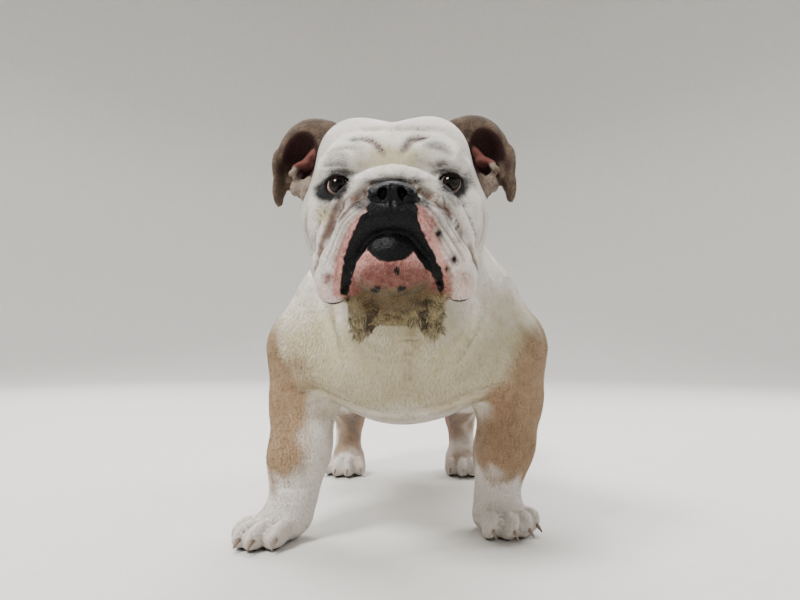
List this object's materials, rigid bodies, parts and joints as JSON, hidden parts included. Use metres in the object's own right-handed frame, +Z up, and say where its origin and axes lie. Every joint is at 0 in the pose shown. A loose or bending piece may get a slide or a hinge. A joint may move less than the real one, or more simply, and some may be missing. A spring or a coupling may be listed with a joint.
{
  "type": "english bulldog",
  "caption": "Life-size standing bulldog with a wrinkled face, hanging lips, folded rose ears and broad forequarters, as a still museum model.",
  "frame": {"origin": "bottom centre of the overall box, on the floor between the feet", "axes": "+Z up, the dog looks along -Y, its left side is +X, its spine runs along Y"},
  "size_m": [0.3874, 0.7612, 0.5017],
  "materials": {
    "white_coat": "short flat hair",
    "fawn_coat": "short flat hair",
    "ear_coat": "short velvety hair",
    "bare_skin": "thinly haired skin",
    "nose_leather": "moist pebbled leather",
    "eye": "wet gloss",
    "claw_horn": "satin horn"
  },
  "bodies": {
    "root": {"head": "white_coat", "neck": "white_coat", "chest": "white_coat", "abdomen": "white_coat", "rump": "white_coat", "tail": "white_coat", "lower_jaw": "bare_skin", "nose": "nose_leather", "ear_left": "ear_coat", "eye_left": "eye", "ear_right": "ear_coat", "eye_right": "eye", "leg_upper_fore_left": "fawn_coat", "leg_lower_fore_left": "fawn_coat", "paw_fore_left": "white_coat", "claw_fore_left_1": "claw_horn", "claw_fore_left_2": "claw_horn", "claw_fore_left_3": "claw_horn", "claw_fore_left_4": "claw_horn", "leg_upper_fore_right": "fawn_coat", "leg_lower_fore_right": "fawn_coat", "paw_fore_right": "white_coat", "claw_fore_right_1": "claw_horn", "claw_fore_right_2": "claw_horn", "claw_fore_right_3": "claw_horn", "claw_fore_right_4": "claw_horn", "leg_upper_hind_left": "white_coat", "leg_lower_hind_left": "white_coat", "paw_hind_left": "white_coat", "claw_hind_left_1": "claw_horn", "claw_hind_left_2": "claw_horn", "claw_hind_left_3": "claw_horn", "claw_hind_left_4": "claw_horn", "leg_upper_hind_right": "white_coat", "leg_lower_hind_right": "white_coat", "paw_hind_right": "white_coat", "claw_hind_right_1": "claw_horn", "claw_hind_right_2": "claw_horn", "claw_hind_right_3": "claw_horn", "claw_hind_right_4": "claw_horn"}
  },
  "joints": []
}
